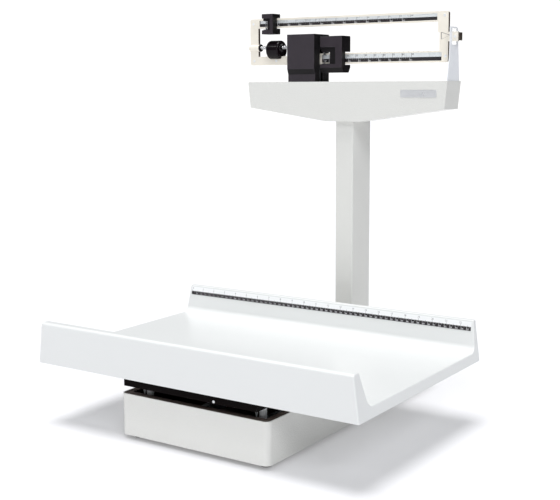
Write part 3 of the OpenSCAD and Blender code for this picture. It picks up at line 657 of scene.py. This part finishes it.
def make_beam_arrow():
    """Outlined arrow cut into the beam's right leg, which points to its tip."""
    face = PrintPlane((0, BEAM_FACE, 0), (0, 0, 1))
    bm = bmesh.new()
    top, low, tip = (181.2, 640.2), (181.2, 628.6), (196.8, 635.0)
    face.tick(bm, top[0], 1.1, (low[1], top[1]), (-0.02, 0.04))
    for a, b, width in ((top, tip, 0.7), (low, tip, 0.25)):
        across = Vector((b[0] - a[0], b[1] - a[1])).orthogonal().normalized() * width / 2
        flat = [(a[0] + across.x, a[1] + across.y), (b[0] + across.x, b[1] + across.y),
                (b[0] - across.x, b[1] - across.y), (a[0] - across.x, a[1] - across.y)]
        prism(bm, "y", BEAM_FACE - 0.04, BEAM_FACE + 0.02, flat)
    return piece("beam_arrow", bm, "print_dark", "beam")


SCREW_Y, SCREW_Z = 220.0, 622.2
SCREW_BORE = 3.06


def make_balance_screw():
    """Threaded rod of the balance adjuster, with a screwdriver slot in its left end."""
    y, z = SCREW_Y, SCREW_Z
    start, end, pitch, root, crest = -215.2, -103.6, 1.0, 2.62, 2.99
    sides, rows_per_turn = 20, 5
    bm = bmesh.new()
    rings = []
    for i in range(int((end - start) / pitch * rows_per_turn) + 1):
        x = start + i * pitch / rows_per_turn
        row = []
        for k in range(sides):
            a = 2 * math.pi * k / sides
            wave = 0.5 + 0.5 * math.cos(2 * math.pi * (x - start) / pitch - a)
            r = root + (crest - root) * wave
            row.append(Vector((x, y + r * math.cos(a), z + r * math.sin(a))) * MM)
        rings.append(row)
    rows = join_rings(bm, rings)
    bm.faces.new(rows[0])
    bm.faces.new(rows[-1])
    for low in (10, 190):
        prism(bm, "x", -215.9, start, arc(y, z, 2.7, low, low + 160, 12))
    return piece("balance_thread", bm, "hard_steel", "adjuster", ("balance_screw",))


def make_collar():
    """Knurled lock collar on the balance screw."""
    y, z, teeth, tip, gap, rim = SCREW_Y, SCREW_Z, 40, 6.95, 6.55, 5.9
    outline = []
    for i in range(teeth * 2):
        a = math.pi * i / teeth
        r = tip if i % 2 else gap
        outline.append((y + r * math.cos(a), z + r * math.sin(a)))
    bm = bmesh.new()
    bore = ring(y, z, SCREW_BORE, 24)
    prism(bm, "x", -194.1, -192.2, outline, bore)
    prism(bm, "x", -194.3, -194.1, ring(y, z, rim, 48), bore)
    prism(bm, "x", -192.2, -191.9, ring(y, z, rim, 48), bore)
    return piece("knurled_collar", bm, "poise_black", "adjuster", ("screw_collar",))


def weight_outline(radius):
    """Section of the counterweight: a circle with a slot underneath that straddles the lower bar."""
    y, z, half, slot_top = SCREW_Y, 617.8, 3.6, 607.2
    gap_angle = math.degrees(math.asin(half / radius))
    outer = arc(y, z, radius, -90 + gap_angle, 270 - gap_angle, 56)
    return outer + [(y - half, slot_top), (y + half, slot_top)]


def make_weight():
    """Glossy counterweight with full round edges, off centre on its screw."""
    x0, x1, radius, edge = -172.0, -144.0, 17.25, 4.2
    stations = []
    for k in range(6):
        a = math.radians(90 * k / 5)
        stations.append((edge * (1 - math.sin(a)), edge * (1 - math.cos(a))))
    ends = [(x0 + dx, cut) for dx, cut in stations[::-1]] + [(x1 - dx, cut) for dx, cut in stations]
    bm = bmesh.new()
    rings = [[Vector((x, y, z)) * MM for y, z in weight_outline(radius - cut)] for x, cut in ends]
    rows = join_rings(bm, rings)
    sides = 24
    hole_points = ring(SCREW_Y, SCREW_Z, SCREW_BORE, sides)
    bore = [[bm.verts.new(Vector((x, y, z)) * MM) for y, z in hole_points] for x in (x0, x1)]
    for i in range(sides):
        bm.faces.new((bore[0][i], bore[0][i - 1], bore[1][i - 1], bore[1][i]))
    for row, hole in ((rows[0], bore[0]), (rows[-1], bore[1])):
        edges = [bm.edges.get((row[i - 1], row[i])) for i in range(len(row))]
        edges += [bm.edges.get((hole[i - 1], hole[i])) for i in range(sides)]
        bmesh.ops.triangle_fill(bm, use_beauty=True, use_dissolve=False, edges=edges)
    return piece("counterweight", bm, "weight_black", "counterweight", ("balance_weight",))


# ---------- carried-over CAD nodes ----------
def keep_frame_parts():
    """Finishes for the CAD nodes whose shape is right, with the size of their rounded edges in mm."""
    groups = (
        ("white_enamel", 0.7, 3, ("base_shell", "head_shell", "head_back_cover")),
        ("white_enamel", 0.6, 3, ("column_tube", "column_flange")),
        ("guard_lit_white", 0.6, 3, ("tip_guard",)),
        ("black_steel", 0.6, 2, ("base_chassis", "platform_frame")),
        ("rubber", 0.8, 3, ("rubber_feet",)),
        ("screw_zinc", 0.2, 2, ("foot_screws", "column_screws", "head_screws", "guard_screws",
                                "cover_screws", "tray_screws", "rod_nuts", "deck_screw")),
        ("grey_steel", 0.8, 2, ("fulcrum_stands", "head_shelf", "beam_stand", "transfer_stand",
                                "transfer_lever", "main_lever", "short_lever")),
        ("hard_steel", 0.15, 2, ("fulcrum_bearings", "beam_bearings", "transfer_bearings",
                                 "fulcrum_pivot", "load_pivot", "transfer_pivots",
                                 "main_lever_pivots", "main_lever_seats", "short_lever_pivots",
                                 "post_bearings", "large_poise_pawl", "large_poise_keeper")),
        ("cover_black", 1.1, 3, ("fulcrum_cover",)),
        ("plate_blank", 0.2, 2, ("name_plate",)),
        ("beam_nickel", 0.35, 2, ("beam_frame",)),
        ("post_zinc", 0.2, 2, ("beam_rivets",)),
        ("strip_metal", 0.1, 2, ("upper_scale_strip", "lower_scale_strip")),
        ("tab_bronze", 0.4, 2, ("tip_tab",)),
        ("bright_steel", 0.3, 2, ("beam_link", "pull_rod", "rod_stirrups")),
        ("bright_steel", 0.05, 2, ("small_poise_index", "large_poise_index")),
        ("post_zinc", 0.3, 2, ("platform_posts", "hold_down_clips")),
        ("poise_black", 0.9, 3, ("small_poise", "large_poise")),
        ("rider_brass", 0.2, 2, ("small_poise_rider",)),
    )
    for finish, width, segments, names in groups:
        for name in names:
            keep(name, finish, width, segments)


make_camera()
make_studio()
materials = make_materials()
keep_frame_parts()
make_tray()
make_tray_ribs()
make_tape()
make_scale_print("upper_scale", UPPER_STRIP, (-178, 21.43, 14, 8, 1), (-178, 23.63, 12, 5, 50))
make_scale_print("lower_scale", LOWER_STRIP, (-42, 18.5, 9, 4, 10), (-42, 20.39, 8, 5, 5))
make_beam_arrow()
make_balance_screw()
make_collar()
make_weight()
